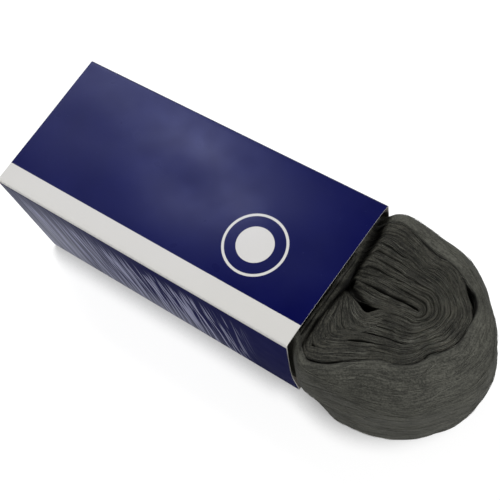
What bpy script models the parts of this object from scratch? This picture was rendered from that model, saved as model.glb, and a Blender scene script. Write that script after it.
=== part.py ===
"""Steel wool pad: a flattened roll of fine steel wool, drawn half out of its folded card sleeve.

The sleeve is a tube of thin card, open at both ends and closed by a glue flap inside its back panel.
The pad is one long ribbon of wool, wound flat about a slit and stood on its edge in the sleeve.
Metres, +Z up. The origin is the middle of the sleeve's underside, and the pad comes out along +X.
"""
import math

import bmesh
import bpy

# Card sleeve
SLEEVE_LENGTH = 0.150
SLEEVE_WIDTH = 0.0704
SLEEVE_HEIGHT = 0.0710
CARD_THICKNESS = 0.0005
FOLD_RADIUS = 0.0010
GLUE_FLAP_WIDTH = 0.014
GLUE_LINE = 0.0003
FREE_EDGE_LIFT = 0.0004
TOP_BOW = 0.0013
SIDE_BOW = 0.0015
BOW_REACH = 0.060
MOUTH_SKEW = 0.0023
STATIONS_ALONG = 12
STATION_CROWDING = 1.6
PANEL_STEPS = 8
FOLD_STEPS = 3
SHADING_ANGLE = math.radians(40)

# Wool pad
PAD_CLEARANCE = 0.0003
PAD_PULLED_OUT = 0.0707
PAD_HEADROOM = 0.0025
CORE_LENGTH = 0.0280
CORE_SLIT = 0.0016
CORE_OFFSET = 0.0020
INNER_TURNS = 8
HALF_ROUNDS = 2 * INNER_TURNS + 1
CORE_DIP = 0.0026
FACE_DROP = 0.0008
TURN_PITCH = 0.0027
TURN_GAP = 0.0003
PAD_RADIUS = 0.0370
NEAR_SIDE_SWELL = 0.0042
NEAR_SWELL_REACH = 0.050
FAR_SIDE_SWELL = 0.0040
FAR_SWELL_REACH = 0.045
FREE_END_SLANT = 0.34
INNER_END_STRETCH = 0.80
OUTER_TURN_BULGE = 0.0012
BULGE_HEIGHT_SHARE = 0.45
TURN_CROWN = 0.0012
THIN_CREST_SHARE = 0.5
SWOLLEN_CREST_SHARE = 0.2
SLEEVED_CREST_SHARE = 0.5
MOUTH_DIP = 0.0040
MOUTH_DIP_REACH = 0.0040
SHOULDER_DROP = 0.0140
SLEEVED_SHOULDER_DROP = 0.0050
SHOULDER_REACH = 0.030
HEEL_RISE = 0.0050
PUFF_LENGTH = 0.009
PUFF_MARGIN = 0.0009
RUN_STEPS = 5
END_ARC_STEPS = 14
OUTER_ARC_STEPS = 26
TAIL_SHARE = 0.60
SWELLING_SHARE = 0.85
TOP_CORNER_STEPS = 4
HEEL_CORNER_STEPS = 2

# How far the wound face reaches against a round one: how much wider its two sides get towards the mouth,
# and shares at angles in degrees about the free end's bend, for the thin turns and the outer turn round them
NEAR_SIDE_WIDENING = 0.42
FAR_SIDE_WIDENING = 0.14
THIN_TURN_REACH = ((-90, 1.00), (-70, 0.93), (-49, 0.80), (-18, 0.87), (8, 0.91), (33, 0.97), (90, 1.02))
OUTER_TURN_REACH = ((-90, 1.00), (-70, 0.94), (-49, 0.82), (-18, 0.89), (8, 0.94), (33, 1.12), (50, 1.05), (90, 1.02))

# What the pad lies in, worked out from the sleeve
SLEEVE_INSIDE_NEAR = SLEEVE_WIDTH / 2 - CARD_THICKNESS
SLEEVE_INSIDE_FAR = SLEEVE_INSIDE_NEAR - GLUE_LINE - CARD_THICKNESS
MOUTH_X = SLEEVE_LENGTH / 2
PAD_REST_Z = CARD_THICKNESS + PAD_CLEARANCE
PAD_HEIGHT = SLEEVE_HEIGHT - CARD_THICKNESS - PAD_REST_Z - PAD_HEADROOM
PAD_END_X = MOUTH_X + PAD_PULLED_OUT
CORE_END_X = PAD_END_X - PAD_RADIUS
CORE_START_X = CORE_END_X - CORE_LENGTH


def clear_scene():
    for item in list(bpy.data.objects):
        bpy.data.objects.remove(item, do_unlink=True)


def smooth_step(value):
    value = min(max(value, 0.0), 1.0)
    return value * value * (3 - 2 * value)


def mix(first, second, share):
    return first + (second - first) * share


def material(name, colour, roughness, metallic):
    made = bpy.data.materials.new(name)
    made.use_nodes = True
    shader = made.node_tree.nodes["Principled BSDF"]
    shader.inputs["Base Color"].default_value = (*colour, 1)
    shader.inputs["Roughness"].default_value = roughness
    shader.inputs["Metallic"].default_value = metallic
    return made


def add_object(name, mesh_builder, collection, look):
    mesh = bpy.data.meshes.new(name)
    mesh_builder.normal_update()
    mesh_builder.to_mesh(mesh)
    mesh_builder.free()
    mesh.materials.append(look)
    made = bpy.data.objects.new(name, mesh)
    collection.objects.link(made)
    return made


# Card sleeve

def fold_arc(centre, start_angle, end_angle):
    """Points of one fold's outer face in the Y-Z plane, both ends included."""
    points = []
    for step in range(FOLD_STEPS + 1):
        angle = mix(start_angle, end_angle, step / FOLD_STEPS)
        points.append((centre[0] + FOLD_RADIUS * math.cos(angle), centre[1] + FOLD_RADIUS * math.sin(angle)))
    return points


def panel_points(start, end):
    """Points between two folds, without the ends, so that the panel can bow."""
    points = []
    for step in range(1, PANEL_STEPS):
        share = step / PANEL_STEPS
        points.append((mix(start[0], end[0], share), mix(start[1], end[1], share)))
    return points


def sleeve_section():
    """The card's outer face from the back panel's free edge round to the glue flap's."""
    half = SLEEVE_WIDTH / 2
    top = SLEEVE_HEIGHT - FOLD_RADIUS
    flap_face = half - CARD_THICKNESS - GLUE_LINE
    quarter = math.pi / 2
    back_top = fold_arc((half - FOLD_RADIUS, top), 0, quarter)
    near_top = fold_arc((FOLD_RADIUS - half, top), quarter, 2 * quarter)
    near_foot = fold_arc((FOLD_RADIUS - half, FOLD_RADIUS), 2 * quarter, 3 * quarter)
    back_foot = fold_arc((flap_face - FOLD_RADIUS, FOLD_RADIUS), 3 * quarter, 4 * quarter)
    free_edge = (half, FREE_EDGE_LIFT)
    flap_edge = (flap_face, FOLD_RADIUS + GLUE_FLAP_WIDTH)
    section = [free_edge] + panel_points(free_edge, back_top[0]) + back_top
    section += panel_points(back_top[-1], near_top[0]) + near_top
    section += panel_points(near_top[-1], near_foot[0]) + near_foot
    section += back_foot + [flap_edge]
    return section


def bowed(x, y, z):
    """Lets the top and the two sides swell outwards towards the mouth, where the wool has pushed them."""
    reach = smooth_step((x - MOUTH_X + BOW_REACH) / BOW_REACH)
    fold_zone = 2 * FOLD_RADIUS
    side = math.copysign(SIDE_BOW, y) if abs(y) > SLEEVE_WIDTH / 2 - fold_zone else 0
    lift = TOP_BOW if z > SLEEVE_HEIGHT - fold_zone else 0
    side *= math.sin(math.pi * min(max(z / SLEEVE_HEIGHT, 0), 1))
    lift *= math.cos(math.pi * y / SLEEVE_WIDTH)
    return x, y + side * reach, z + lift * reach


def card_sleeve(collection):
    section = sleeve_section()
    card = bmesh.new()
    rows = []
    for station in range(STATIONS_ALONG + 1):
        share = 1 - (1 - station / STATIONS_ALONG) ** STATION_CROWDING
        row = []
        for y, z in section:
            length = SLEEVE_LENGTH + MOUTH_SKEW * 2 * y / SLEEVE_WIDTH
            row.append(card.verts.new(bowed(-SLEEVE_LENGTH / 2 + length * share, y, z)))
        rows.append(row)
    for first, second in zip(rows, rows[1:]):
        for index in range(len(section) - 1):
            card.faces.new((first[index], first[index + 1], second[index + 1], second[index]))
    look = material("printed_card", (0.016, 0.022, 0.150), 0.42, 0.0)
    sleeve = add_object("card_sleeve", card, collection, look)
    thickness = sleeve.modifiers.new("card thickness", "SOLIDIFY")
    thickness.thickness = CARD_THICKNESS
    thickness.offset = -1
    thickness.use_even_offset = True
    sleeve.data.shade_smooth()
    sleeve.data.set_sharp_from_angle(angle=SHADING_ANGLE)
    return sleeve


# Wool pad

def winding_stations():
    """Where the ribbon is measured along its winding: its bend's centre, the way outwards, and its two edges.

    Each half round is a straight run and then a half circle, at the free end and at the inner end in turn.
    The ribbon swells into the thick outer turn on its last full bend in the sleeve, and tapers off over it.
    """
    stations = []
    for half in range(HALF_ROUNDS + 1):
        at_free_end = half % 2 == 0
        end_x, start_x = (CORE_END_X, CORE_START_X) if at_free_end else (CORE_START_X, CORE_END_X)
        middle = CORE_SLIT / 2 + (TURN_PITCH / 2 if at_free_end else 0)
        start_angle = -math.pi / 2 if at_free_end else math.pi / 2
        for step in range(RUN_STEPS):
            x = mix(start_x, end_x, step / RUN_STEPS)
            stations.append((x, middle, start_angle, *ribbon_edges(half, 0, middle, x, start_angle)))
        arc_steps = END_ARC_STEPS if half < HALF_ROUNDS - 2 else OUTER_ARC_STEPS
        for step in range(arc_steps):
            share = step / arc_steps
            angle = start_angle + math.pi * share
            if half < HALF_ROUNDS or share < TAIL_SHARE:
                stations.append((end_x, middle, angle, *ribbon_edges(half, share, middle, end_x, angle)))
    return stations


def half_round_radius(half):
    return (half + 1) * TURN_PITCH / 2 + CORE_SLIT / 2


def stepped_through(table, value):
    """The value that a table of pairs gives, in straight steps between its rows."""
    for (low, first), (high, second) in zip(table, table[1:]):
        if value <= high:
            return mix(first, second, (value - low) / (high - low))
    return table[-1][1]


def face_reach(centre_x, angle, table):
    """How far the wound face reaches in a direction, against a round one."""
    if centre_x == CORE_END_X:
        return stepped_through(table, math.degrees(angle))
    near, far = table[0][1], table[-1][1]
    back = smooth_step((CORE_END_X - centre_x) / CORE_LENGTH)
    side = far + back * FAR_SIDE_WIDENING if math.sin(angle) > 0 else near + back * NEAR_SIDE_WIDENING
    return mix(1, side, math.sin(angle) ** 2)


def reached(distance, reach):
    """A distance from the bend's centre, drawn out or in by the face's reach, and by less near the core."""
    return distance * mix(1, reach, smooth_step(distance / half_round_radius(HALF_ROUNDS - 1)))


def ribbon_edges(half, share, middle, centre_x, angle):
    """Inner and outer distance of the ribbon from its bend's centre, and how far it is grown."""
    half_thickness = (TURN_PITCH - TURN_GAP) / 2
    reach = face_reach(centre_x, angle, THIN_TURN_REACH if half < HALF_ROUNDS - 1 else OUTER_TURN_REACH)
    inner = reached(half_round_radius(half) - half_thickness, reach)
    thin = reached(half_round_radius(half) + half_thickness, reach)
    full = PAD_RADIUS - OUTER_TURN_BULGE - (middle - CORE_SLIT / 2) * math.sin(angle)
    swelling = smooth_step(share / SWELLING_SHARE)
    if half == HALF_ROUNDS:
        below = reached(half_round_radius(half - 2) + half_thickness, reach)
        return mix(below, full, swelling) + TURN_GAP, full, 1 - swelling
    growth = (0, swelling, 1)[max(0, half - HALF_ROUNDS + 3)]
    return inner, mix(thin, full, growth), growth


def corner(centre, width, height, start_angle, steps):
    """A quarter of an ellipse about its centre, anticlockwise, both ends included."""
    points = []
    for step in range(steps + 1):
        angle = start_angle + math.pi / 2 * step / steps
        points.append((centre[0] + width * math.cos(angle), centre[1] + height * math.sin(angle)))
    return points


def ribbon_section(inner, outer, growth, sleeved, low, high):
    """The ribbon's outline across its run: distance from the core, and height.

    The sleeve keeps the shoulder of the outer turn square, and it rounds off further out.
    """
    width = outer - inner
    swollen_crest = mix(SWOLLEN_CREST_SHARE, SLEEVED_CREST_SHARE, sleeved)
    shoulder = mix(SHOULDER_DROP, SLEEVED_SHOULDER_DROP, sleeved)
    crest = inner + width * mix(THIN_CREST_SHARE, swollen_crest, growth)
    drop = mix(TURN_CROWN, shoulder, growth)
    rise = mix(TURN_CROWN, HEEL_RISE, growth)
    bulge = OUTER_TURN_BULGE * growth
    quarter = math.pi / 2
    points = corner((crest, low + rise), outer - crest, rise, -quarter, HEEL_CORNER_STEPS)
    points.append((outer + bulge, mix(low, high, BULGE_HEIGHT_SHARE)))
    points += corner((crest, high - drop), outer - crest, drop, 0, TOP_CORNER_STEPS)
    points += corner((crest, high - TURN_CROWN), crest - inner, TURN_CROWN, quarter, 1)[1:]
    points += corner((crest, low + TURN_CROWN), crest - inner, TURN_CROWN, 2 * quarter, 1)[:-1]
    return points


def fitted(x, y, z):
    """Draws the pad out long and narrow in the sleeve, and lets it puff out, slant and sag past the mouth."""
    across = y / PAD_RADIUS
    if x < CORE_START_X:
        back = CORE_START_X - x
        x -= back * INNER_END_STRETCH * (back ** 2 + y ** 2) / PAD_RADIUS ** 2
    mouth_edge = MOUTH_X + MOUTH_SKEW * across + PUFF_MARGIN
    free = smooth_step((x - mouth_edge) / PUFF_LENGTH)
    inside = SLEEVE_INSIDE_FAR if y > 0 else SLEEVE_INSIDE_NEAR
    squeeze = mix((inside - PAD_CLEARANCE) / PAD_RADIUS, 1.0, free)
    swell, reach = (FAR_SIDE_SWELL, FAR_SWELL_REACH) if y > 0 else (-NEAR_SIDE_SWELL, NEAR_SWELL_REACH)
    swell *= smooth_step(abs(across)) * (1 - smooth_step((x - MOUTH_X) / reach))
    shift = CORE_OFFSET * (1 - across ** 2)
    slant = FREE_END_SLANT * PAD_RADIUS * (1 + across) ** 2 / 4
    slant *= smooth_step((x - MOUTH_X - PUFF_LENGTH) / (PAD_END_X - MOUTH_X - PUFF_LENGTH))
    sag = PAD_REST_Z * free * smooth_step(1 - z / PAD_HEIGHT)
    beside_mouth = 1 - smooth_step(abs(x - MOUTH_X - MOUTH_DIP_REACH) / (2 * MOUTH_DIP_REACH))
    dip = MOUTH_DIP * beside_mouth * smooth_step(2 * z / PAD_HEIGHT - 1) * (1 - smooth_step(abs(across)))
    return x - slant, y * squeeze + swell * free + shift, z - sag - dip


def steel_wool_pad(collection):
    wool = bmesh.new()
    low = PAD_REST_Z
    high = low + PAD_HEIGHT
    rings = []
    for centre_x, middle, angle, inner, outer, growth in winding_stations():
        crown = high - (1 - growth) * (FACE_DROP + CORE_DIP * (1 - inner / PAD_RADIUS) ** 2)
        sleeved = 1 - smooth_step((centre_x + outer * math.cos(angle) - MOUTH_X) / SHOULDER_REACH)
        ring = []
        for distance, height in ribbon_section(inner, outer, growth, sleeved, low, crown):
            x = centre_x + distance * math.cos(angle)
            y = middle + distance * math.sin(angle)
            ring.append(wool.verts.new(fitted(x, y, height)))
        rings.append(ring)
    count = len(rings[0])
    for first, second in zip(rings, rings[1:]):
        for index in range(count):
            after = (index + 1) % count
            wool.faces.new((first[index], second[index], second[after], first[after]))
    wool.faces.new(rings[0])
    wool.faces.new(list(reversed(rings[-1])))
    bmesh.ops.recalc_face_normals(wool, faces=wool.faces)
    look = material("steel_wool", (0.060, 0.060, 0.054), 0.70, 0.55)
    pad = add_object("steel_wool_pad", wool, collection, look)
    pad.data.shade_smooth()
    return pad


def build():
    clear_scene()
    collection = bpy.data.collections.new("steel_wool_pad_in_sleeve")
    bpy.context.scene.collection.children.link(collection)
    card_sleeve(collection)
    steel_wool_pad(collection)


build()
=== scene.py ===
"""Looks of the steel wool pad: printed card sleeve, wound steel wool, loose fibres, floor, light and camera.

The wool follows the winding of the CAD ribbon, with the pinched bends and the hollows that the real pad has.
Metres, +Z up, in the frame of the CAD model: the pad comes out of the sleeve along +X.
"""

import math

import bmesh
import bpy
import numpy as np
from mathutils import Matrix


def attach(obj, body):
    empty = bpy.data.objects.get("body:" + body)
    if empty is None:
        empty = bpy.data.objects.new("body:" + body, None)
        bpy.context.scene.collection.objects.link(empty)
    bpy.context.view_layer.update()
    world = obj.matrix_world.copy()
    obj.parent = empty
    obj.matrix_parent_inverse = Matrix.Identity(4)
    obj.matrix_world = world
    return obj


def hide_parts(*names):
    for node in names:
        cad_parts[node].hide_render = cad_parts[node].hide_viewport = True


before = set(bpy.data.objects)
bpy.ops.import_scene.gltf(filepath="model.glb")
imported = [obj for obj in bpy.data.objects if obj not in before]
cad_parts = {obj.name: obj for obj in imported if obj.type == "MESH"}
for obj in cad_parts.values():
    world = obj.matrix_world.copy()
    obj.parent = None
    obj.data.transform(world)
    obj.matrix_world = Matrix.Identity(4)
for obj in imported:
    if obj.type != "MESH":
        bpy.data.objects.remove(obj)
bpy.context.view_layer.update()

# Card sleeve, as in the CAD model
SLEEVE_LENGTH = 0.150
SLEEVE_WIDTH = 0.0704
SLEEVE_HEIGHT = 0.0710
CARD_THICKNESS = 0.0005
FOLD_RADIUS = 0.0010
GLUE_FLAP_WIDTH = 0.014
GLUE_LINE = 0.0003
FREE_EDGE_LIFT = 0.0004
TOP_BOW = 0.0013
SIDE_BOW = 0.0015
BOW_REACH = 0.060
MOUTH_SKEW = 0.0023
MOUTH_X = SLEEVE_LENGTH / 2

# Detail of the card
CARD_STATIONS = 90
PANEL_STEPS = 44
FOLD_STEPS = 5
PANEL_WAVE = 0.00035
EDGE_WAVE = 0.00030
SHADING_ANGLE = math.radians(50)

# Print of the sleeve
STRIPE_WIDTH = 0.0100
BADGE_CENTRE = (0.0400, -0.0056)
BADGE_OUTER = 0.0137
BADGE_RING = 0.0011
BADGE_DISC = 0.0079
NAVY = (0.0010, 0.0015, 0.0485)
CREAM = (0.61, 0.60, 0.575)
STREAK_GREY = (0.38, 0.39, 0.54)
# Painted reflection of the white floor on the side panels
PAINTED_REFLECTION_GREY = (0.33, 0.34, 0.41)
STREAK_SETS = ((0.08, 0.0, 0.90), (0.00, 0.3, 0.70))
BARE_CARD = (0.30, 0.27, 0.23)
CUT_CARD = (0.46, 0.45, 0.43)

# Winding of the pad, as in the CAD model
PAD_RADIUS = 0.0370
PAD_LOW = 0.0008
PAD_HIGH = 0.0680
PAD_END_X = MOUTH_X + 0.0707
CORE_END_X = PAD_END_X - PAD_RADIUS
CORE_LENGTH = 0.0280
CORE_START_X = CORE_END_X - CORE_LENGTH
CORE_SLIT = 0.0016
CORE_OFFSET = 0.0020
TURN_PITCH = 0.0027
LAST_THIN_HALF = 14
LAST_HALF = 17
TAIL_SHARE = 0.60
SWELLING_SHARE = 0.85
INSIDE_NEAR = 0.0344
INSIDE_FAR = 0.0336
NEAR_SWELL = 0.0054
NEAR_SWELL_REACH = 0.050
FAR_SWELL = 0.0040
FAR_SWELL_REACH = 0.045
FREE_END_SLANT = 0.34
INNER_END_STRETCH = 0.80
PUFF_LENGTH = 0.009
FOOT_PUFF_LENGTH = 0.024
FAR_PUFF_LENGTH = 0.0108
FOOT_HEIGHT = 0.045
PUFF_MARGIN = 0.0004

# Detail of the thin turns
THIN_SPACING = 0.0008
THIN_TOP_POINTS = 28
THIN_WALL_POINTS = 4
THIN_UNDER_POINTS = 6
THIN_CROWN = 0.0004
EDGE_LINE_DEPTH = 0.0012
LAST_THIN_WIDENING = 1.35
STRAND_DEPTH = 0.00050
FACE_DROP = 0.0008
CORE_DIP = 0.0026
FACE_RADIUS = 0.0226
SLIT_CLOSING = 0.0025

# Bands of wool across the winding: offset from the mouth, half length, width and top
MOUTH_BAND = (0.0007, 0.0300, 0.0050, 0.0668)
HEART_BAND = (0.0060, 0.0120, 0.0160, 0.0560)
# Painted shade added all over both bands
BAND_PAINTED_SHADE = 0.12

# How far the wound face departs from round: degrees about the free end's bend, then the stretch
THIN_STRETCH = ((-90, 1.00), (-70, 0.93), (-49, 0.80), (-18, 0.87), (8, 0.91), (33, 0.985), (50, 1.005), (90, 1.02))
THICK_STRETCH = ((-90, 1.03), (-70, 0.95), (-49, 0.82), (-18, 0.90), (8, 0.95), (27, 1.10), (38, 1.12), (50, 1.05), (90, 1.04))
NEAR_SPREAD = 0.42
FAR_SPREAD = 0.14

# Pinched bends beside the mouth: where the strands meet, and the knee of each turn's near run
PINCH_POINT = (0.0778, 0.0006)
PINCH_KNEES = {
    3: (0.0902, -0.0086),
    5: (0.0895, -0.0124),
    7: (0.0865, -0.0164),
    9: (0.0832, -0.0202),
    11: (0.0798, -0.0240),
    13: (0.0770, -0.0283),
}
KNEE_RUN = 0.0060
HIDDEN_X = 0.0735

# Groove in the wool just outside the mouth: place along Y, then along X, depth and half width
GROOVE = (
    (-0.0370, 0.0768, 0.0020, 0.0010),
    (-0.0287, 0.0759, 0.0016, 0.0009),
    (-0.0142, 0.0768, 0.0016, 0.0009),
    (-0.0053, 0.0778, 0.0022, 0.0010),
    (0.0017, 0.0784, 0.0030, 0.0010),
    (0.0116, 0.0780, 0.0034, 0.0014),
    (0.0184, 0.0778, 0.0040, 0.0020),
    (0.0290, 0.0772, 0.0042, 0.0022),
    (0.0370, 0.0765, 0.0030, 0.0018),
)

# Valleys in the wound face: both ends in plan, depth and half width
VALLEYS = (
    ((0.0780, 0.0004), (0.0900, -0.0046), 0.0042, 0.0016),
    ((0.0800, 0.0014), (0.1000, 0.0026), 0.0014, 0.0012),
)

# Detail of the thick outer turn
THICK_SPACING = 0.0010
THICK_RING_POINTS = 210
SHOULDER_DROP = 0.0140
HEEL_RISE = 0.0036
SLEEVED_SHOULDER_DROP = 0.0080
SLEEVED_CREST_SHARE = 0.5
SLEEVED_RISE = 0.0004
SHOULDER_REACH = 0.014
OUTER_BULGE = 0.0012
OUTER_EDGE = (
    (-90, 0.0010), (-75, 0.0003), (-60, -0.0003), (-45, -0.0010), (-30, 0.0002), (-15, 0.0006),
    (0, 0.0006), (20, -0.0008), (33, -0.0014), (50, 0.0004), (70, 0.0013), (90, 0.0010),
)
OUTER_EDGE_RUN = 0.020
CREST_SHARE = 0.2

# Steel wool
FACE_DARK = (0.0100, 0.0100, 0.0078)
FACE_PALE = (0.064, 0.0622, 0.049)
WRAP_DARK = (0.026, 0.026, 0.0212)
WRAP_PALE = (0.098, 0.098, 0.081)

# Loose fibres
FIBRE_STEPS = 7
THICK_FIBRES = 800
THIN_FIBRES = 600
FIBRE_RADIUS = (0.00004, 0.00009)

# Camera fitted to the sleeve's corners in the photo
CAMERA_PLACE = (0.13683, -0.09153, 0.35656)
CAMERA_RIGHT = (0.83504, 0.53472, -0.12952)
CAMERA_DOWN = (0.45345, -0.80220, -0.38840)
CAMERA_FORWARD = (-0.31159, 0.26560, -0.91234)
CAMERA_LENS = 56.64
CAMERA_SENSOR = 36.0

LATTICE = 97


# Numbers

def smooth(value):
    value = np.clip(value, 0.0, 1.0)
    return value * value * (3 - 2 * value)


def mix(first, second, share):
    return first + (second - first) * share


def noise(along, across, seed):
    """Smooth values between -1 and 1, that change over about one unit in each direction."""
    grid = np.random.default_rng(seed).uniform(-1, 1, (LATTICE, LATTICE))
    along, across = np.broadcast_arrays(along, across)
    column = np.floor(along).astype(int)
    row = np.floor(across).astype(int)
    share_along = smooth(along - column)
    share_across = smooth(across - row)
    left = mix(grid[column % LATTICE, row % LATTICE], grid[(column + 1) % LATTICE, row % LATTICE], share_along)
    row += 1
    right = mix(grid[column % LATTICE, row % LATTICE], grid[(column + 1) % LATTICE, row % LATTICE], share_along)
    return mix(left, right, share_across)


def strand_relief(along, across, seed):
    """Depth of combed strands: 0 on their backs and up to 1 in the lines between them, which run along the winding."""
    drift = 0.05 * along + 0.0016 * noise(along / 0.022, across / 0.011, seed + 1)
    broad = noise(along / 0.030, (across + drift) / 0.0024, seed + 2)
    fine = noise(along / 0.018, (across - 0.6 * drift) / 0.0014, seed + 3)
    return 0.62 * np.exp(-(broad / 0.24) ** 2) + 0.38 * np.exp(-(fine / 0.30) ** 2)


# Mesh helpers

def ring_mesh(name, rings, along, around, painted_shade):
    """A closed tube through rings of points, with its run and girth as UVs and the painted shade of its hollows as an
    attribute.
    """
    stations, count = rings.shape[:2]
    vertices = rings.reshape(-1, 3)
    first = np.arange(stations - 1)[:, None] * count
    index = np.arange(count)[None, :]
    after = (index + 1) % count
    quads = np.stack([first + index, first + count + index, first + count + after, first + after], axis=-1)
    faces = quads.reshape(-1, 4).tolist()
    faces.append(list(range(count)))
    faces.append([(stations - 1) * count + step for step in reversed(range(count))])
    mesh = bpy.data.meshes.new(name)
    mesh.from_pydata(vertices.tolist(), [], faces)
    girth = np.concatenate([around, 2 * around[:, -1:] - around[:, -2:-1]], axis=1)
    run = np.repeat(along[:, None], count + 1, axis=1)
    corners = [(0, 0), (1, 0), (1, 1), (0, 1)]
    coordinates = np.zeros((stations - 1, count, 4, 2))
    for corner, (step_along, step_around) in enumerate(corners):
        rows = slice(step_along, stations - 1 + step_along)
        columns = slice(step_around, count + step_around)
        coordinates[:, :, corner, 0] = run[rows, columns]
        coordinates[:, :, corner, 1] = girth[rows, columns]
    flat = np.zeros(len(mesh.loops) * 2)
    flat[: coordinates.size] = coordinates.reshape(-1)
    mesh.uv_layers.new(name="winding").data.foreach_set("uv", flat)
    mesh.attributes.new("painted_shade", "FLOAT", "POINT").data.foreach_set("value", painted_shade.reshape(-1))
    mesh.shade_smooth()
    made = bpy.data.objects.new(name, mesh)
    bpy.context.scene.collection.objects.link(made)
    return made


def face_outwards(made):
    mesh = bmesh.new()
    mesh.from_mesh(made.data)
    bmesh.ops.recalc_face_normals(mesh, faces=mesh.faces)
    mesh.to_mesh(made.data)
    mesh.free()


# Materials

class Look:
    """A material with short calls for its nodes."""

    def __init__(self, name):
        self.material = bpy.data.materials.new(name)
        self.material.use_nodes = True
        self.nodes = self.material.node_tree.nodes
        self.links = self.material.node_tree.links
        self.shader = self.nodes["Principled BSDF"]

    def node(self, kind, **settings):
        made = self.nodes.new(kind)
        for name, value in settings.items():
            setattr(made, name, value)
        return made

    def set(self, made, **values):
        for name, value in values.items():
            socket = made.inputs[name.replace("_", " ")]
            if isinstance(value, bpy.types.NodeSocket):
                self.links.new(value, socket)
            else:
                socket.default_value = value
        return made

    def math(self, operation, first, second=0.0, third=0.0):
        made = self.node("ShaderNodeMath", operation=operation)
        for socket, value in zip(made.inputs, (first, second, third)):
            if isinstance(value, bpy.types.NodeSocket):
                self.links.new(value, socket)
            else:
                socket.default_value = value
        return made.outputs[0]

    def between(self, value, low, high):
        """From 0 at low to 1 at high, smoothly."""
        made = self.node("ShaderNodeMapRange", interpolation_type="SMOOTHSTEP")
        self.set(made, Value=value, From_Min=low, From_Max=high)
        return made.outputs[0]

    def blend(self, share, first, second):
        made = self.node("ShaderNodeMix", data_type="RGBA")
        self.links.new(share, made.inputs[0])
        for socket, value in ((made.inputs[6], first), (made.inputs[7], second)):
            if isinstance(value, bpy.types.NodeSocket):
                self.links.new(value, socket)
            else:
                socket.default_value = (*value, 1)
        return made.outputs[2]

    def noise(self, vector, scale, turn=0.0, detail=3.0, roughness=0.55):
        mapping = self.node("ShaderNodeMapping")
        self.links.new(vector, mapping.inputs["Vector"])
        mapping.inputs["Scale"].default_value = scale
        mapping.inputs["Rotation"].default_value = (0, 0, turn)
        made = self.node("ShaderNodeTexNoise")
        self.links.new(mapping.outputs[0], made.inputs["Vector"])
        self.set(made, Scale=1.0, Detail=detail, Roughness=roughness)
        return made.outputs["Fac"]

    def bump(self, height, strength, distance, below=None):
        made = self.node("ShaderNodeBump")
        self.set(made, Height=height, Strength=strength, Distance=distance)
        if below is not None:
            self.links.new(below, made.inputs["Normal"])
        return made.outputs[0]

    def finish(self, **values):
        self.set(self.shader, **values)
        return self.material


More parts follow.
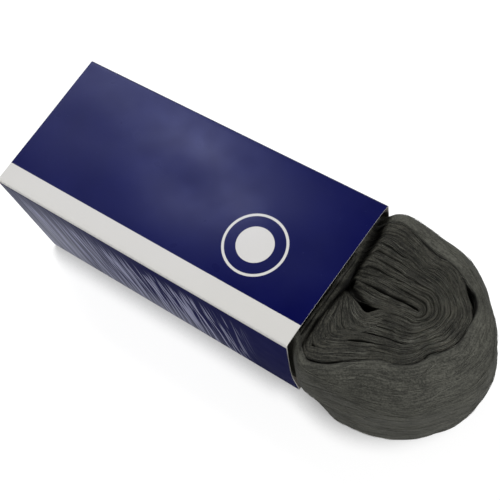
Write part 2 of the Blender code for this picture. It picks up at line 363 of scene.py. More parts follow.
def printed_card():
    """Navy print with a cream stripe along the near fold, a plain round badge, streaked side panels, and a painted
    reflection of the floor in pale grey on the side panels, towards the left end and low down.
    """
    look = Look("printed card")
    place = look.node("ShaderNodeTexCoord").outputs["Object"]
    axes = look.node("ShaderNodeSeparateXYZ")
    look.links.new(place, axes.inputs[0])
    x, y, z = axes.outputs
    on_top = look.between(z, SLEEVE_HEIGHT - 0.0012, SLEEVE_HEIGHT - 0.0008)

    stripe = look.math("MULTIPLY", on_top, look.between(y, 0.0001 + STRIPE_WIDTH - SLEEVE_WIDTH / 2, STRIPE_WIDTH - SLEEVE_WIDTH / 2 - 0.0001))
    from_badge_x = look.math("SUBTRACT", x, BADGE_CENTRE[0])
    from_badge_y = look.math("SUBTRACT", y, BADGE_CENTRE[1])
    squares = look.math("ADD", look.math("POWER", from_badge_x, 2.0), look.math("POWER", from_badge_y, 2.0))
    from_badge = look.math("SQRT", squares)
    from_ring = look.math("ABSOLUTE", look.math("SUBTRACT", from_badge, BADGE_OUTER - BADGE_RING / 2))
    ring = look.between(from_ring, BADGE_RING / 2 + 0.0001, BADGE_RING / 2 - 0.0001)
    disc = look.between(from_badge, BADGE_DISC + 0.0001, BADGE_DISC - 0.0001)
    badge = look.math("MULTIPLY", on_top, look.math("MAXIMUM", ring, disc))
    cream = look.math("MAXIMUM", stripe, badge)

    ink = look.noise(place, (60, 60, 60), detail=4)
    navy = look.blend(ink, tuple(0.8 * part for part in NAVY), tuple(1.2 * part for part in NAVY))
    fleck = look.between(look.noise(place, (900, 900, 900), detail=2), 0.70, 0.80)
    navy = look.blend(look.math("MULTIPLY", fleck, 0.10), navy, (0.10, 0.12, 0.30))

    marks = 0.0
    for lean, turn, strength in STREAK_SETS:
        strokes = look.node("ShaderNodeCombineXYZ")
        look.links.new(look.math("MULTIPLY_ADD", z, lean, look.math("ADD", x, turn)), strokes.inputs[0])
        look.links.new(z, strokes.inputs[2])
        brushed = look.noise(strokes.outputs[0], (640, 1, 15), detail=1)
        marks = look.math("MAXIMUM", marks, look.math("MULTIPLY", look.between(brushed, 0.56, 0.63), strength))
    marks = look.math("MULTIPLY", marks, look.between(x, 0.056, 0.040))
    marks = look.math("MULTIPLY", marks, look.between(z, SLEEVE_HEIGHT - 0.006, SLEEVE_HEIGHT - 0.020))
    # Painted reflection on the side panels: pale grey towards the left end and low down, broken up by the streak noise.
    reflection_low_down = look.math("MULTIPLY", look.between(z, 0.034, 0.004), look.between(x, 0.052, 0.000))
    reflection_at_left_end = look.math("MULTIPLY", look.between(x, 0.010, -0.085), look.between(z, SLEEVE_HEIGHT + 0.040, 0.020))
    painted_reflection = look.math("MAXIMUM", reflection_at_left_end, look.math("MULTIPLY", reflection_low_down, 0.60))
    painted_reflection = look.math("MULTIPLY", painted_reflection, look.math("MULTIPLY_ADD", look.between(brushed, 0.40, 0.60), 0.50, 0.70))
    across = look.math("ABSOLUTE", y)
    on_side = look.between(across, SLEEVE_WIDTH / 2 - 0.0010, SLEEVE_WIDTH / 2 - 0.0007)
    on_side = look.math("MULTIPLY", on_side, look.between(z, SLEEVE_HEIGHT - 0.0018, SLEEVE_HEIGHT - 0.0026))
    print_and_reflection_colour = look.blend(look.math("MULTIPLY", painted_reflection, on_side), navy, PAINTED_REFLECTION_GREY)
    print_and_reflection_colour = look.blend(look.math("MULTIPLY", marks, on_side), print_and_reflection_colour, STREAK_GREY)

    paper = look.noise(place, (35, 35, 35), detail=3)
    cream_colour = look.blend(paper, tuple(0.95 * part for part in CREAM), CREAM)
    print_and_reflection_colour = look.blend(cream, print_and_reflection_colour, cream_colour)

    scuff = look.noise(place, (900, 900, 900), detail=4)
    from_fold_y = look.math("SUBTRACT", SLEEVE_WIDTH / 2, across)
    from_fold_z = look.math("MINIMUM", look.math("ABSOLUTE", look.math("SUBTRACT", SLEEVE_HEIGHT, z)), z)
    fold = look.math("MAXIMUM", look.math("ABSOLUTE", from_fold_y), from_fold_z)
    worn = look.math("MULTIPLY", look.between(fold, 0.0009, 0.0002), look.between(scuff, 0.40, 0.66))
    print_and_reflection_colour = look.blend(look.math("MULTIPLY", worn, 0.30), print_and_reflection_colour, (0.30, 0.30, 0.36))

    grain = look.noise(place, (1500, 1500, 1500), detail=2)
    swell = look.noise(place, (30, 40, 40), detail=1)
    relief = look.bump(grain, 0.12, 0.00004)
    relief = look.bump(swell, 0.30, 0.0004, below=relief)
    uneven = look.noise(place, (110, 110, 110), detail=1)
    glossy_top = look.math("MULTIPLY_ADD", uneven, 0.16, 0.23)
    rubbed_side = look.math("MULTIPLY_ADD", uneven, 0.20, 0.68)
    roughness = look.math("MULTIPLY_ADD", on_top, look.math("SUBTRACT", glossy_top, rubbed_side), rubbed_side)
    return look.finish(
        Base_Color=print_and_reflection_colour,
        Roughness=roughness,
        Normal=relief,
        Specular_IOR_Level=0.14,
        Coat_Weight=look.math("MULTIPLY", on_top, 0.05),
        Coat_Roughness=0.20,
        Specular_Tint=(0.33, 0.40, 1.0, 1.0),
    )


def plain_card(name, colour, grain_scale):
    """Unprinted card: pale fibres in a warm grey sheet."""
    look = Look(name)
    place = look.node("ShaderNodeTexCoord").outputs["Object"]
    fibres = look.noise(place, grain_scale, detail=5, roughness=0.65)
    tone = look.blend(look.between(fibres, 0.30, 0.70), tuple(0.78 * part for part in colour), colour)
    relief = look.bump(fibres, 0.25, 0.00006)
    return look.finish(Base_Color=tone, Roughness=0.85, Normal=relief)


def steel_wool(name, dark, pale, contrast):
    """Combed steel fibres: streaks along the winding with fine fuzz across them, with painted shade that darkens them
    in the hollows.
    """
    look = Look(name)
    winding = look.node("ShaderNodeUVMap", uv_map="winding").outputs[0]
    place = look.node("ShaderNodeTexCoord").outputs["Object"]
    broad = look.noise(winding, (120, 1400, 1), turn=0.05, detail=3, roughness=0.6)
    crossing = look.noise(winding, (260, 1900, 1), turn=-0.16, detail=3, roughness=0.6)
    fine = look.noise(winding, (600, 4600, 1), turn=0.10, detail=3, roughness=0.65)
    fuzz = look.noise(place, (1500, 1500, 1500), detail=2, roughness=0.6)
    mottle = look.noise(place, (85, 85, 85), detail=3)
    streaks = look.math("ADD", look.math("MULTIPLY", broad, 0.26), look.math("MULTIPLY", crossing, 0.26))
    streaks = look.math("MULTIPLY_ADD", fine, 0.14, streaks)
    streaks = look.math("MULTIPLY_ADD", fuzz, 0.34, streaks)
    tone = look.math("MULTIPLY_ADD", look.math("SUBTRACT", mottle, 0.5), 0.22, streaks)
    colour = look.blend(look.between(tone, *contrast), dark, pale)
    painted_shade = look.node("ShaderNodeAttribute", attribute_name="painted_shade").outputs["Fac"]
    # Painted shade: where the mesh's shade attribute is high the wool turns near-black, in the lines between strands,
    # down the walls between turns and in the groove by the mouth.
    colour = look.blend(painted_shade, colour, (0.004, 0.004, 0.0035))
    relief = look.bump(fine, 0.50, 0.00015)
    relief = look.bump(streaks, 0.70, 0.00045, below=relief)
    roughness = look.node("ShaderNodeMapRange")
    look.set(roughness, Value=fine, To_Min=0.55, To_Max=0.80)
    return look.finish(
        Base_Color=colour,
        Metallic=0.20,
        Specular_IOR_Level=0.25,
        Roughness=roughness.outputs[0],
        Normal=relief,
    )


def fibre_steel():
    look = Look("loose steel fibres")
    place = look.node("ShaderNodeTexCoord").outputs["Object"]
    tone = look.noise(place, (160, 160, 160), detail=3)
    colour = look.blend(look.between(tone, 0.35, 0.65), (0.045, 0.045, 0.038), (0.15, 0.15, 0.125))
    return look.finish(Base_Color=colour, Metallic=0.45, Roughness=0.45)


# Card sleeve

def arc_points(centre, radius, start_angle, end_angle, steps):
    angles = np.linspace(start_angle, end_angle, steps + 1)
    return [(centre[0] + radius * math.cos(angle), centre[1] + radius * math.sin(angle)) for angle in angles]


def straight_points(start, end, steps):
    """Points between two others, without the ends."""
    return [(mix(start[0], end[0], step / steps), mix(start[1], end[1], step / steps)) for step in range(1, steps)]


def sleeve_section():
    """The card's outer face from the back panel's free edge round to the glue flap's, as in the CAD model."""
    half = SLEEVE_WIDTH / 2
    top = SLEEVE_HEIGHT - FOLD_RADIUS
    flap_face = half - CARD_THICKNESS - GLUE_LINE
    quarter = math.pi / 2
    back_top = arc_points((half - FOLD_RADIUS, top), FOLD_RADIUS, 0, quarter, FOLD_STEPS)
    near_top = arc_points((FOLD_RADIUS - half, top), FOLD_RADIUS, quarter, 2 * quarter, FOLD_STEPS)
    near_foot = arc_points((FOLD_RADIUS - half, FOLD_RADIUS), FOLD_RADIUS, 2 * quarter, 3 * quarter, FOLD_STEPS)
    back_foot = arc_points((flap_face - FOLD_RADIUS, FOLD_RADIUS), FOLD_RADIUS, 3 * quarter, 4 * quarter, FOLD_STEPS)
    free_edge = (half, FREE_EDGE_LIFT)
    flap_edge = (flap_face, FOLD_RADIUS + GLUE_FLAP_WIDTH)
    section = [free_edge] + straight_points(free_edge, back_top[0], PANEL_STEPS) + back_top
    section += straight_points(back_top[-1], near_top[0], PANEL_STEPS) + near_top
    section += straight_points(near_top[-1], near_foot[0], PANEL_STEPS) + near_foot
    section += straight_points(near_foot[-1], back_foot[0], PANEL_STEPS) + back_foot
    section += straight_points(back_foot[-1], flap_edge, PANEL_STEPS // 4) + [flap_edge]
    return section


def bowed(x, y, z):
    """The panels swell towards the mouth, and lie a little unevenly between their folds."""
    reach = float(smooth((x - MOUTH_X + BOW_REACH) / BOW_REACH))
    fold_zone = 2 * FOLD_RADIUS
    side_share = math.sin(math.pi * min(max(z / SLEEVE_HEIGHT, 0), 1))
    top_share = math.cos(math.pi * y / SLEEVE_WIDTH)
    if abs(y) > SLEEVE_WIDTH / 2 - fold_zone:
        wave = PANEL_WAVE * float(noise(x / 0.030, z / 0.025, 11))
        y += math.copysign(SIDE_BOW * reach + wave, y) * side_share
    if z > SLEEVE_HEIGHT - fold_zone:
        wave = PANEL_WAVE * float(noise(x / 0.032, y / 0.026, 12))
        z += (TOP_BOW * reach + wave) * max(top_share, 0)
    return x, y, z


def card_sleeve():
    section = sleeve_section()
    card = bmesh.new()
    rows = []
    for station in range(CARD_STATIONS + 1):
        share = station / CARD_STATIONS
        row = []
        for step, (y, z) in enumerate(section):
            length = SLEEVE_LENGTH + MOUTH_SKEW * 2 * y / SLEEVE_WIDTH
            length += EDGE_WAVE * share ** 6 * float(noise(step / 9, 0.5, 13))
            row.append(card.verts.new(bowed(-SLEEVE_LENGTH / 2 + length * share, y, z)))
        rows.append(row)
    for first, second in zip(rows, rows[1:]):
        for index in range(len(section) - 1):
            card.faces.new((first[index], first[index + 1], second[index + 1], second[index]))
    mesh = bpy.data.meshes.new("printed card sleeve")
    card.to_mesh(mesh)
    card.free()
    made = bpy.data.objects.new("printed_card_sleeve", mesh)
    bpy.context.scene.collection.objects.link(made)
    mesh.materials.append(printed_card())
    mesh.materials.append(plain_card("bare card inside", BARE_CARD, (160, 420, 420)))
    mesh.materials.append(plain_card("cut card edge", CUT_CARD, (900, 900, 900)))
    thickness = made.modifiers.new("card thickness", "SOLIDIFY")
    thickness.thickness = CARD_THICKNESS
    thickness.offset = -1
    thickness.use_even_offset = True
    thickness.material_offset = 1
    thickness.material_offset_rim = 2
    applied = bpy.data.meshes.new_from_object(made.evaluated_get(bpy.context.evaluated_depsgraph_get()))
    made.modifiers.clear()
    made.data = applied
    applied.shade_smooth()
    applied.set_sharp_from_angle(angle=SHADING_ANGLE)
    return made


# Plan of the winding

def half_round_radius(half):
    return (half + 1) * TURN_PITCH / 2 + CORE_SLIT / 2


def half_round_path(half, spacing):
    """Centre, angle and share of the bend along one half round: a straight run, then a half circle."""
    at_free_end = half % 2 == 0
    start_x, end_x = (CORE_START_X, CORE_END_X) if at_free_end else (CORE_END_X, CORE_START_X)
    middle = CORE_SLIT / 2 + (TURN_PITCH / 2 if at_free_end else 0)
    start_angle = -math.pi / 2 if at_free_end else math.pi / 2
    run_steps = max(3, round(abs(end_x - start_x) / spacing))
    bend_steps = max(6, round(math.pi * half_round_radius(half) / spacing))
    run = np.arange(run_steps) / run_steps
    bend = np.arange(bend_steps) / bend_steps
    centre_x = np.concatenate([mix(start_x, end_x, run), np.full(bend_steps, end_x)])
    angle = start_angle + math.pi * np.concatenate([np.zeros(run_steps), bend])
    share = np.concatenate([np.zeros(run_steps), bend])
    on_bend = np.concatenate([np.zeros(run_steps, bool), np.ones(bend_steps, bool)])
    return centre_x, middle, angle, share, on_bend & at_free_end


def face_stretch(centre_x, angle, on_free_bend, table):
    """How far the wound face reaches in a direction, against a round one."""
    degrees, stretches = zip(*table)
    around = np.interp(np.degrees(angle), degrees, stretches)
    back = smooth((CORE_END_X - centre_x) / CORE_LENGTH)
    near_side = stretches[0] + back * NEAR_SPREAD
    far_side = stretches[-1] + back * FAR_SPREAD
    side = np.where(np.sin(angle) > 0, far_side, near_side)
    return np.where(on_free_bend, around, 1 + (side - 1) * np.sin(angle) ** 2)


def fitted(x, y, z):
    """Drawn out narrow in the sleeve, and puffed out, slanted and sagging past the mouth, as in the CAD model."""
    across = y / PAD_RADIUS
    back = np.maximum(CORE_START_X - x, 0)
    x = x - back * INNER_END_STRETCH * (back ** 2 + y ** 2) / PAD_RADIUS ** 2
    mouth_edge = MOUTH_X + MOUTH_SKEW * across + PUFF_MARGIN
    quick = 1 - (1 - np.clip((x - mouth_edge) / PUFF_LENGTH, 0, 1)) ** 2.2
    slow = smooth((x - mouth_edge) / FOOT_PUFF_LENGTH)
    gentle = 1 - (1 - np.clip((x - mouth_edge) / FAR_PUFF_LENGTH, 0, 1)) ** 2.2
    free = np.where(y < 0, mix(slow, quick, smooth(z / FOOT_HEIGHT)), mix(quick, gentle, smooth(across)))
    inside = np.where(y > 0, INSIDE_FAR, INSIDE_NEAR)
    squeeze = mix(inside / PAD_RADIUS, 1.0, free)
    swell = np.where(y > 0, FAR_SWELL, -NEAR_SWELL)
    reach = np.where(y > 0, FAR_SWELL_REACH, NEAR_SWELL_REACH)
    swell = swell * smooth(np.abs(across)) * (1 - smooth((x - MOUTH_X) / reach))
    shift = CORE_OFFSET * (1 - np.minimum(across ** 2, 1))
    slant = FREE_END_SLANT * PAD_RADIUS * (1 + across) ** 2 / 4
    slant = slant * smooth((x - MOUTH_X - PUFF_LENGTH) / (PAD_END_X - MOUTH_X - PUFF_LENGTH))
    sag = PAD_LOW * free * smooth(1 - z / PAD_HIGH)
    return x - slant, y * squeeze + swell * free + shift, z - sag


def groove_depth(x, y):
    """How far the wool is pressed down beside the mouth's edge."""
    places, centres, depths, widths = np.array(GROOVE).T
    centre = np.interp(y, places, centres) + 0.0005 * noise(y / 0.004, 0.5, 21)
    width = np.interp(y, places, widths) * (1 + 0.3 * noise(y / 0.005, 0.5, 22))
    return np.interp(y, places, depths) * np.exp(-((x - centre) / width) ** 2)


def valley_depth(x, y):
    """How far the wool sinks along the soft valleys of the wound face."""
    sunk = np.zeros_like(x)
    for start, end, depth, width in VALLEYS:
        run = np.subtract(end, start)
        share = np.clip(((x - start[0]) * run[0] + (y - start[1]) * run[1]) / (run @ run), 0, 1)
        away = np.hypot(x - start[0] - share * run[0], y - start[1] - share * run[1])
        sunk = np.maximum(sunk, depth * np.exp(-(away / width) ** 2))
    return sunk


def wander(x, y):
    """Waves that neighbouring strands share."""
    wave = 0.0009 * noise(x / 0.013, y / 0.009, 31) + 0.0004 * noise(x / 0.006, y / 0.005, 32)
    wave = wave + 0.00026 * noise(x / 0.0027, y / 0.0025, 33)
    return wave * smooth((x - MOUTH_X) / 0.010)


# Thin turns

def curve_through(points, count):
    """A smooth curve through points, without the first and the last."""
    points = np.array(points)
    pieces = []
    for index in range(1, len(points) - 2):
        before, start, end, after = points[index - 1:index + 3]
        share = np.linspace(0, 1, count, endpoint=False)[:, None]
        pieces.append(0.5 * (
            2 * start + (end - before) * share
            + (2 * before - 5 * start + 4 * end - after) * share ** 2
            + (3 * start - before - 3 * end + after) * share ** 3
        ))
    return np.concatenate(pieces + [points[-2:-1]])


def thin_centreline():
    """Plan points of the thin turns' middle line, each with the turn's width there."""
    points = []
    widths = []
    for half in range(LAST_THIN_HALF + 2):
        centre_x, middle, angle, share, on_free_bend = half_round_path(half, THIN_SPACING)
        radius = half_round_radius(half)
        stretch = face_stretch(centre_x, angle, on_free_bend, THIN_STRETCH)
        stretch = mix(1.0, stretch, float(smooth(radius / FACE_RADIUS)))
        x = centre_x + radius * stretch * np.cos(angle)
        y = middle + radius * stretch * np.sin(angle)
        x, y, _ = fitted(x, y, np.full_like(x, PAD_HIGH))
        width = TURN_PITCH * stretch * (LAST_THIN_WIDENING if half >= LAST_THIN_HALF - 1 else 1.0)
        if half == LAST_THIN_HALF + 1:
            keep = share < 0.3
        elif half in PINCH_KNEES:
            keep = share == 0
        elif half - 1 in PINCH_KNEES:
            keep = (share > 0) | (x > PINCH_KNEES[half - 1][0] + KNEE_RUN)
        else:
            keep = np.ones_like(x, bool)
        x, y, width = x[keep], y[keep], width[keep]
        if half - 1 in PINCH_KNEES:
            knee = PINCH_KNEES[half - 1]
            apex = (PINCH_POINT[0] - 0.0001 * (half - 8), PINCH_POINT[1] - 0.0001 * half)
            far = points[-1][-1]
            hidden = (HIDDEN_X, mix(apex[1], far[1], 0.5))
            path = [points[-1][-6], far, hidden, (apex[0] - 0.0015, apex[1] + 0.0012), apex, knee, (x[0], y[0]), (x[4], y[4])]
            pinch = curve_through(path, 14)
            from_apex = np.linalg.norm(pinch - apex, axis=1)
            points.append(pinch)
            widths.append(0.0022 + 0.0030 * smooth(from_apex / 0.016))
        points.append(np.column_stack([x, y]))
        widths.append(width)
    return np.concatenate(points), np.concatenate(widths)


def evenly_spaced(points, values, spacing):
    """The same line with points at equal distances, a little relaxed."""
    steps = np.linalg.norm(np.diff(points, axis=0), axis=1)
    length = np.concatenate([[0], np.cumsum(steps)])
    along = np.arange(0, length[-1], spacing)
    even = np.column_stack([np.interp(along, length, points[:, axis]) for axis in range(2)])
    values = np.interp(along, length, values)
    for _ in range(3):
        even[1:-1] = 0.25 * even[:-2] + 0.5 * even[1:-1] + 0.25 * even[2:]
        values[1:-1] = 0.25 * values[:-2] + 0.5 * values[1:-1] + 0.25 * values[2:]
    return along, even, values


def outward_normals(points):
    tangent = np.gradient(points, axis=0)
    tangent /= np.linalg.norm(tangent, axis=1)[:, None] + 1e-12
    return np.column_stack([tangent[:, 1], -tangent[:, 0]])


def thin_ring():
    """The section of a thin turn: place across its width, height share, and how much it belongs to the top."""
    across = np.linspace(-1, 1, THIN_TOP_POINTS)
    top = [(place, 1.0, 1.0) for place in across]
    outer_wall = [(1.0, 1 - step / (THIN_WALL_POINTS + 1), 0.0) for step in range(1, THIN_WALL_POINTS + 1)]
    under = [(place, 0.0, -1.0) for place in np.linspace(1, -1, THIN_UNDER_POINTS)]
    inner_wall = [(-1.0, step / (THIN_WALL_POINTS + 1), 0.0) for step in range(1, THIN_WALL_POINTS + 1)]
    return np.array(top + outer_wall + under + inner_wall)


def flat_topped_rings(along, points, widths, crown, seed):
    """Rings of a ribbon on edge, with its girths and the painted shade of its hollows: strands on top, and a lower line
    where turns meet.
    """
    normals = outward_normals(points)
    across, height_share, side = thin_ring().T
    place = across * np.where(side != 0, 1 - 0.10 * np.abs(across) ** 6, 1.0)
    distance = place[None, :] * widths[:, None] / 2
    x = points[:, 0:1] + normals[:, 0:1] * distance
    y = points[:, 1:2] + normals[:, 1:2] * distance
    wave = wander(x, y)
    x = x + wave * normals[:, 0:1]
    y = y + wave * normals[:, 1:2]
    relief = strand_relief(along[:, None], distance + 0.005 * noise(along / 0.08, 0.5, seed)[:, None], seed + 5)
    edge = np.abs(place[None, :])
    comb_drift = 0.30 * noise(along / 0.017, 0.5, seed + 9)[:, None]
    comb = np.sin(math.pi * (place[None, :] + comb_drift * (1 - edge)))
    relief = np.maximum(0.7 * relief, np.exp(-(comb / 0.36) ** 2))
    drop = THIN_CROWN * edge ** 3 + EDGE_LINE_DEPTH * edge ** 10
    top = crown[:, None] - drop - STRAND_DEPTH * relief - groove_depth(x, y) - valley_depth(x, y)
    low = PAD_LOW * (1 - smooth((x - MOUTH_X) / PUFF_LENGTH)) + 0.0003
    under = low + drop + STRAND_DEPTH * relief
    z = np.where(side[None, :] == 1, top, np.where(side[None, :] == -1, under, mix(under, top, height_share[None, :])))
    # Painted shade: darker the lower the top sinks below the crown, in the lines between strands and at the turn's
    # edges; darker down the walls, and a fixed amount on the underside.
    depth = smooth((crown[:, None] - z - STRAND_DEPTH) / 0.0030)
    top_painted_shade = np.clip(0.70 * depth + 0.48 * relief + 0.85 * edge ** 6, 0, 1)
    wall_painted_shade = smooth((crown[:, None] - z) / 0.006) * 0.9
    painted_shade = np.where(side[None, :] == 1, top_painted_shade, wall_painted_shade)
    painted_shade = np.where(side[None, :] == -1, 0.3, painted_shade)
    rings = np.stack([x, y, z], axis=-1)
    steps = np.linalg.norm(np.diff(rings, axis=1), axis=2)
    girth = np.concatenate([np.zeros((len(along), 1)), np.cumsum(steps, axis=1)], axis=1)
    return rings, girth, painted_shade


def thin_turns(wool):
    points, widths = thin_centreline()
    along, points, widths = evenly_spaced(points, widths, THIN_SPACING)
    own_wave = 0.00030 * noise(along / 0.009, 0.5, 41) + 0.00015 * noise(along / 0.004, 0.5, 42)
    points = points + outward_normals(points) * own_wave[:, None]
    widths = widths * (1.10 + 0.16 * smooth((along - 0.10) / 0.08) + 0.12 * noise(along / 0.011, 0.5, 43))
    first_run = smooth((0.0265 - along) / 0.007)
    second_run = smooth((along - 0.0400) / 0.008) * (1 - smooth((along - 0.0600) / 0.006))
    widths = widths + SLIT_CLOSING * (first_run + second_run)
    from_core = np.abs(points[:, 1] - CORE_OFFSET) + np.maximum(0, points[:, 0] - CORE_END_X)
    crown = PAD_HIGH - FACE_DROP - CORE_DIP * (1 - smooth(from_core / 0.016))
    crown = crown + 0.0006 * noise(along / 0.012, 0.5, 44) + 0.0003 * noise(along / 0.005, 0.5, 45)
    rings, girth, painted_shade = flat_topped_rings(along, points, widths, crown, 46)
    made = ring_mesh("thin_wool_turns", rings, along, girth, painted_shade)
    made.data.materials.append(wool)
    return made, rings


def crossing_band(name, wool, offset, reach, width, top, seed):
    """A band of wool across the winding, beside the card's edge."""
    y = np.arange(-reach, reach, THIN_SPACING)
    x = MOUTH_X + MOUTH_SKEW * y / PAD_RADIUS + offset + 0.0004 * noise(y / 0.007, 0.5, seed)
    points = np.column_stack([x, y])
    widths = width * (1 + 0.12 * noise(y / 0.009, 0.5, seed + 1))
    crown = top + 0.0007 * noise(y / 0.008, 0.5, seed + 2)
    rings, girth, painted_shade = flat_topped_rings(y + reach, points, widths, crown, seed + 3)
    # Painted shade: the band is darkened by a fixed amount on top of its own.
    made = ring_mesh(name, rings, y + reach, girth, np.clip(painted_shade + BAND_PAINTED_SHADE, 0, 1))
    made.data.materials.append(wool)
    return made


# Thick outer turn

def thick_stations():
    """Stations of the thick turn: pieces of the half rounds from the inner end's last full bend to the tail."""
    columns = [[] for _ in range(6)]
    for half in range(LAST_THIN_HALF + 1, LAST_HALF + 1):
        centre_x, middle, angle, share, on_free_bend = half_round_path(half, THICK_SPACING)
        limit = TAIL_SHARE if half == LAST_HALF else 1.0
        keep = share < limit
        if half == LAST_THIN_HALF + 1:
            keep &= share > 0.05
        values = (centre_x, np.full_like(angle, middle), angle, share, on_free_bend.astype(float), np.full_like(angle, half))
        for column, value in zip(columns, values):
            column.append(value[keep])
    return [np.concatenate(column) for column in columns]


def thick_outline(inner, outer, growth, sleeved, low, high):
    """The thick turn's section as dense points: distance from the bend's centre, and height."""
    width = outer - inner
    high = high + SLEEVED_RISE * sleeved
    crest = inner + width * mix(0.5, mix(CREST_SHARE, SLEEVED_CREST_SHARE, sleeved), growth)
    drop = mix(THIN_CROWN, mix(SHOULDER_DROP, SLEEVED_SHOULDER_DROP, sleeved), growth)
    rise = mix(THIN_CROWN, HEEL_RISE, growth)
    bulge = OUTER_BULGE * growth
    lip = THIN_CROWN * 2
    quarter = np.linspace(0, math.pi / 2, 24)
    wall = np.linspace(0, 1, 60)[1:-1]
    distance = []
    height = []
    distance += list(inner + (crest - inner) * (1 - np.cos(quarter)))
    height += list(high - lip + lip * np.sin(quarter))
    fine_quarter = np.linspace(0, math.pi / 2, 60)[1:]
    distance += list(crest + (outer - crest) * np.sin(fine_quarter))
    height += list(high - drop + drop * np.cos(fine_quarter))
    wall_top = high - drop
    wall_foot = low + rise
    distance += list(outer + bulge * np.sin(math.pi * wall) ** 0.8)
    height += list(mix(wall_top, wall_foot, wall))
    distance += list(crest + (outer - crest) * np.cos(quarter))
    height += list(wall_foot - rise * np.sin(quarter))
    distance += list(mix(crest, inner, np.linspace(0, 1, 10)[1:]))
    height += [low] * 9
    distance += [inner] * 8
    height += list(mix(low, high - lip, np.linspace(0, 1, 10)[1:-1]))
    outline = np.column_stack([distance, height])
    closed = np.concatenate([outline, outline[:1]])
    length = np.concatenate([[0], np.cumsum(np.linalg.norm(np.diff(closed, axis=0), axis=1))])
    even = np.linspace(0, length[-1], THICK_RING_POINTS, endpoint=False)
    return np.column_stack([np.interp(even, length, closed[:, axis]) for axis in range(2)]), even


def thick_turn():
    centre_x, middle, angle, share, on_free_bend, half = thick_stations()
    on_free_bend = on_free_bend > 0.5
    stretch = face_stretch(centre_x, angle, on_free_bend, THICK_STRETCH)
    swelling = smooth(share / SWELLING_SHARE)
    full = PAD_RADIUS - OUTER_BULGE - (middle - CORE_SLIT / 2) * np.sin(angle)
    edge_shift = np.interp(np.degrees(angle), *zip(*OUTER_EDGE))
    full = full + edge_shift * smooth((centre_x - CORE_START_X) / OUTER_EDGE_RUN)
    thin_half = (TURN_PITCH - 0.0003) / 2
    first = half == LAST_THIN_HALF + 1
    last = half == LAST_HALF
    inner = (half_round_radius(half) - thin_half) * stretch
    inner = np.minimum(inner - 0.0004, full - 0.0030)
    growth = np.where(first, swelling, 1.0)
    outer = np.where(first, mix(inner + 2 * thin_half, full, swelling), full)
    inner = np.where(last, mix(inner, full - 0.0006, swelling), inner)
    growth = np.where(last, 1 - swelling, growth)
    rings = []
    girths = []
    for index in range(len(angle)):
        from_mouth = centre_x[index] + outer[index] * math.cos(angle[index]) - MOUTH_X
        sleeved = 1 - float(smooth(from_mouth / SHOULDER_REACH))
        outline, girth = thick_outline(inner[index], outer[index], growth[index], sleeved, PAD_LOW, PAD_HIGH)
        x = centre_x[index] + outline[:, 0] * math.cos(angle[index])
        y = middle[index] + outline[:, 0] * math.sin(angle[index])
        rings.append(np.column_stack(fitted(x, y, outline[:, 1])))
        girths.append(girth)
    rings = np.array(rings)
    girths = np.array(girths)
    middle_line = rings.mean(axis=1)
    along = np.concatenate([[0], np.cumsum(np.linalg.norm(np.diff(middle_line, axis=0), axis=1))])
    normal = ring_normals(rings)
    outward = np.clip(normal[:, :, 2], 0, 1)
    waves = 0.0006 * noise(along[:, None] / 0.016, girths / 0.010, 61)
    relief = strand_relief(along[:, None], girths, 65)
    free = smooth((rings[:, :, 0] - MOUTH_X - 0.001) / 0.006)
    above_floor = smooth(rings[:, :, 2] / 0.006)
    rings = rings + normal * ((waves - 0.00014 * relief) * mix(0.3, 1.0, free) * mix(0.15, 1.0, above_floor))[:, :, None]
    groove = groove_depth(rings[:, :, 0], rings[:, :, 1])
    rings[:, :, 2] -= groove * outward
    rings[:, :, 2] = np.maximum(rings[:, :, 2], 0.0001)
    # Painted shade: darker in the groove beside the mouth and on the sides that face in towards the winding, and
    # faintly in the lines between strands.
    painted_shade = 0.16 * relief + 0.75 * smooth(groove / 0.004) * outward
    facing_in = smooth((-(normal[:, :, 0] * np.cos(angle)[:, None] + normal[:, :, 1] * np.sin(angle)[:, None]) - 0.3) / 0.5)
    painted_shade = np.clip(painted_shade + 0.8 * facing_in, 0, 1)
    made = ring_mesh("thick_wool_turn", rings, along, girths, painted_shade)
    made.data.materials.append(steel_wool("steel wool wrap", WRAP_DARK, WRAP_PALE, (0.39, 0.63)))
    return made, rings


def ring_normals(rings):
    """Outward normals of a tube given as rings of points."""
    around = np.roll(rings, -1, axis=1) - np.roll(rings, 1, axis=1)
    along = np.gradient(rings, axis=0)
    normal = np.cross(around, along)
    normal /= np.linalg.norm(normal, axis=2)[:, :, None] + 1e-12
    middle = rings.mean(axis=1, keepdims=True)
    side = np.sign(np.sum(normal * (rings - middle), axis=(1, 2)))
    return normal * side[:, None, None]


# Loose fibres

def surface_point(rings, normals, station, place, lift):
    """A point over the tube at a station and a place round it, both with fractions."""
    stations, count = rings.shape[:2]
    row = int(min(max(station, 0), stations - 2))
    column = int(math.floor(place))
    share_row = min(max(station - row, 0.0), 1.0)
    share_column = place - column
    first, second = column % count, (column + 1) % count
    low = mix(rings[row, first], rings[row, second], share_column)
    high = mix(rings[row + 1, first], rings[row + 1, second], share_column)
    return mix(low, high, share_row) + normals[row, first] * lift


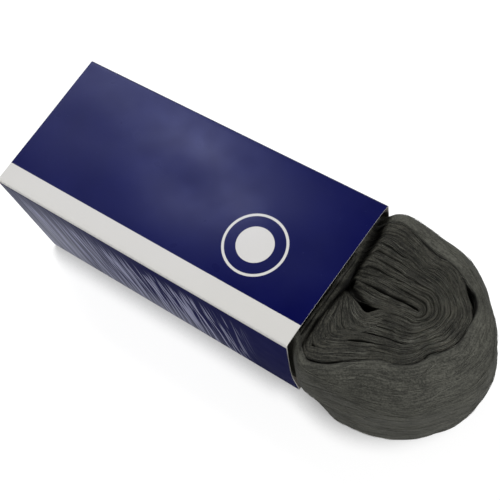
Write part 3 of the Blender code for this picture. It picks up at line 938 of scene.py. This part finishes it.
def add_fibre(mesh, path, radius):
    """A three-sided thread along a path, with both ends drawn to a point."""
    path = np.array(path)
    tangent = np.gradient(path, axis=0)
    tangent /= np.linalg.norm(tangent, axis=1)[:, None] + 1e-12
    side = np.cross(tangent, (0.31, 0.17, 0.93))
    side /= np.linalg.norm(side, axis=1)[:, None] + 1e-12
    rise = np.cross(side, tangent)
    start = len(mesh["vertices"])
    mesh["vertices"].append(path[0])
    for step in range(1, len(path) - 1):
        for corner in range(3):
            angle = 2 * math.pi * corner / 3
            mesh["vertices"].append(path[step] + radius * (math.cos(angle) * side[step] + math.sin(angle) * rise[step]))
    mesh["vertices"].append(path[-1])
    last = len(mesh["vertices"]) - 1
    for corner in range(3):
        after = (corner + 1) % 3
        mesh["faces"].append((start, start + 1 + after, start + 1 + corner))
        for step in range(len(path) - 3):
            base = start + 1 + 3 * step
            mesh["faces"].append((base + corner, base + after, base + 3 + after, base + 3 + corner))
        mesh["faces"].append((last, last - 3 + corner, last - 3 + after))


def fibres_over(mesh, rings, amount, seed, lengths, slant, lift, wanted):
    """Scatters threads over a tube's outside, near its own direction."""
    picks = np.random.default_rng(seed)
    normals = ring_normals(rings)
    stations, count = rings.shape[:2]
    made = 0
    while made < amount:
        station = picks.uniform(2, stations - 3)
        place = picks.uniform(0, count)
        length = picks.uniform(*lengths)
        slope = picks.normal(0, slant)
        curl = picks.normal(0, slant * 0.8)
        tip_lift = abs(picks.normal(0, lift))
        root_lift = abs(picks.normal(0, lift * 0.4))
        radius = picks.uniform(*FIBRE_RADIUS)
        spot = rings[int(station), int(place) % count]
        if not wanted(spot, normals[int(station), int(place) % count]):
            continue
        path = []
        for step in range(FIBRE_STEPS):
            share = step / (FIBRE_STEPS - 1)
            row = station + length * (share - 0.5)
            column = place + length * (slope * (share - 0.5) + curl * (share - 0.5) ** 2)
            over = radius + root_lift + tip_lift * (2 * share - 1) ** 2
            path.append(surface_point(rings, normals, row, column, over))
        if wanted(path[0], normals[int(station), int(place) % count]):
            add_fibre(mesh, path, radius)
            made += 1


def loose_fibres(thin_rings, thick_rings):
    mesh = {"vertices": [], "faces": []}

    def outside(spot, normal):
        return spot[0] > MOUTH_X + 0.004 and spot[2] > 0.002

    def on_face(spot, normal):
        return spot[0] > MOUTH_X + 0.005 and normal[2] > 0.5

    fibres_over(mesh, thick_rings, THICK_FIBRES, 71, (6, 18), 0.30, 0.00022, outside)
    fibres_over(mesh, thin_rings, THIN_FIBRES, 72, (6, 16), 0.16, 0.00018, on_face)
    data = bpy.data.meshes.new("loose fibres")
    data.from_pydata([tuple(point) for point in mesh["vertices"]], [], mesh["faces"])
    data.shade_smooth()
    made = bpy.data.objects.new("loose_fibres", data)
    bpy.context.scene.collection.objects.link(made)
    data.materials.append(fibre_steel())
    return made


# Floor, light and camera

def floor():
    """A white floor that keeps the object's shadow in its paper, and glows white to the camera and in reflections, with
    a painted contact shadow in that glow near the object.
    """
    bpy.ops.mesh.primitive_plane_add(size=6, location=(0, 0, -0.0002))
    made = bpy.context.object
    made.name = "floor"
    look = Look("white floor")
    rays = look.node("ShaderNodeLightPath").outputs
    mirrored = look.math("MULTIPLY", rays["Is Glossy Ray"], 0.30)
    seen = look.math("MAXIMUM", rays["Is Camera Ray"], look.math("MAXIMUM", mirrored, rays["Is Transmission Ray"]))
    paper = look.node("ShaderNodeBsdfDiffuse")
    paper.inputs["Color"].default_value = (0.34, 0.34, 0.34, 1)
    # Painted contact shadow: ambient occlusion, leaned towards the back right as if lit from there, dims the floor's
    # glow near the object.
    near = look.node("ShaderNodeAmbientOcclusion", samples=16)
    painted_shadow_lean = look.node("ShaderNodeCombineXYZ")
    look.set(painted_shadow_lean, X=0.62, Y=0.60, Z=0.50)
    look.set(near, Distance=0.015, Normal=painted_shadow_lean.outputs[0])
    clear_of_painted_shadow = look.between(near.outputs["AO"], 0.22, 0.80)
    glow_with_painted_shadow = look.math("MULTIPLY", seen, look.math("MULTIPLY_ADD", clear_of_painted_shadow, 0.65, 0.13))
    glow = look.node("ShaderNodeEmission")
    glow.inputs["Color"].default_value = (1, 1, 1, 1)
    look.links.new(glow_with_painted_shadow, glow.inputs["Strength"])
    both = look.node("ShaderNodeAddShader")
    look.links.new(paper.outputs[0], both.inputs[0])
    look.links.new(glow.outputs[0], both.inputs[1])
    look.links.new(both.outputs[0], look.nodes["Material Output"].inputs["Surface"])
    made.data.materials.append(look.material)
    return made


def area_lamp(name, place, aim, size, power):
    lamp = bpy.data.lights.new(name, "AREA")
    lamp.shape = "DISK"
    lamp.size = size
    lamp.energy = power
    made = bpy.data.objects.new(name, lamp)
    bpy.context.scene.collection.objects.link(made)
    made.location = place
    direction = Matrix.Translation(place).inverted() @ Matrix.Translation(aim)
    made.rotation_euler = direction.to_translation().to_track_quat("-Z", "Y").to_euler()
    return made


def studio():
    world = bpy.data.worlds.new("soft studio")
    bpy.context.scene.world = world
    world.use_nodes = True
    nodes = world.node_tree.nodes
    links = world.node_tree.links
    direction = nodes.new("ShaderNodeTexCoord")
    axes = nodes.new("ShaderNodeSeparateXYZ")
    links.new(direction.outputs["Generated"], axes.inputs[0])
    overhead = nodes.new("ShaderNodeMapRange")
    overhead.interpolation_type = "SMOOTHSTEP"
    for name, value in {"From Min": 0.78, "From Max": 0.96, "To Min": 0.62, "To Max": 0.05}.items():
        overhead.inputs[name].default_value = value
    links.new(axes.outputs["Z"], overhead.inputs["Value"])
    rays = nodes.new("ShaderNodeLightPath")
    strength = nodes.new("ShaderNodeMath")
    strength.operation = "MAXIMUM"
    links.new(overhead.outputs[0], strength.inputs[0])
    links.new(rays.outputs["Is Camera Ray"], strength.inputs[1])
    background = nodes["Background"]
    background.inputs["Color"].default_value = (1, 1, 1, 1)
    links.new(strength.outputs[0], background.inputs["Strength"])
    area_lamp("key", (-1.15, 1.00, 1.40), (0.02, 0, 0.03), 1.1, 20)
    area_lamp("sheen", (-0.816, 0.672, 1.775), (0, 0.018, 0.071), 0.22, 5.0)
    area_lamp("fill", (1.35, -0.55, 0.85), (0.05, 0, 0.03), 1.0, 15)


def camera():
    lens = bpy.data.cameras.new("camera")
    lens.lens = CAMERA_LENS
    lens.sensor_width = CAMERA_SENSOR
    made = bpy.data.objects.new("camera", lens)
    bpy.context.scene.collection.objects.link(made)
    rows = (CAMERA_RIGHT, [-part for part in CAMERA_DOWN], [-part for part in CAMERA_FORWARD])
    turn = Matrix(rows).transposed().to_4x4()
    made.matrix_world = Matrix.Translation(CAMERA_PLACE) @ turn
    bpy.context.scene.camera = made


def dress():
    sleeve = card_sleeve()
    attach(sleeve, "root")
    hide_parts("card_sleeve")
    face_wool = steel_wool("steel wool face", FACE_DARK, FACE_PALE, (0.42, 0.59))
    thin, thin_rings = thin_turns(face_wool)
    mouth_band = crossing_band("wool_at_the_mouth", face_wool, *MOUTH_BAND, 81)
    heart_band = crossing_band("wool_in_the_heart", face_wool, *HEART_BAND, 91)
    thick, thick_rings = thick_turn()
    fibres = loose_fibres(thin_rings, thick_rings)
    for piece in (thin, mouth_band, heart_band, thick):
        face_outwards(piece)
        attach(piece, "root")
        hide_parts("steel_wool_pad")
    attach(fibres, "root")


dress()
floor()
studio()
camera()
bpy.context.scene.view_settings.view_transform = "Standard"
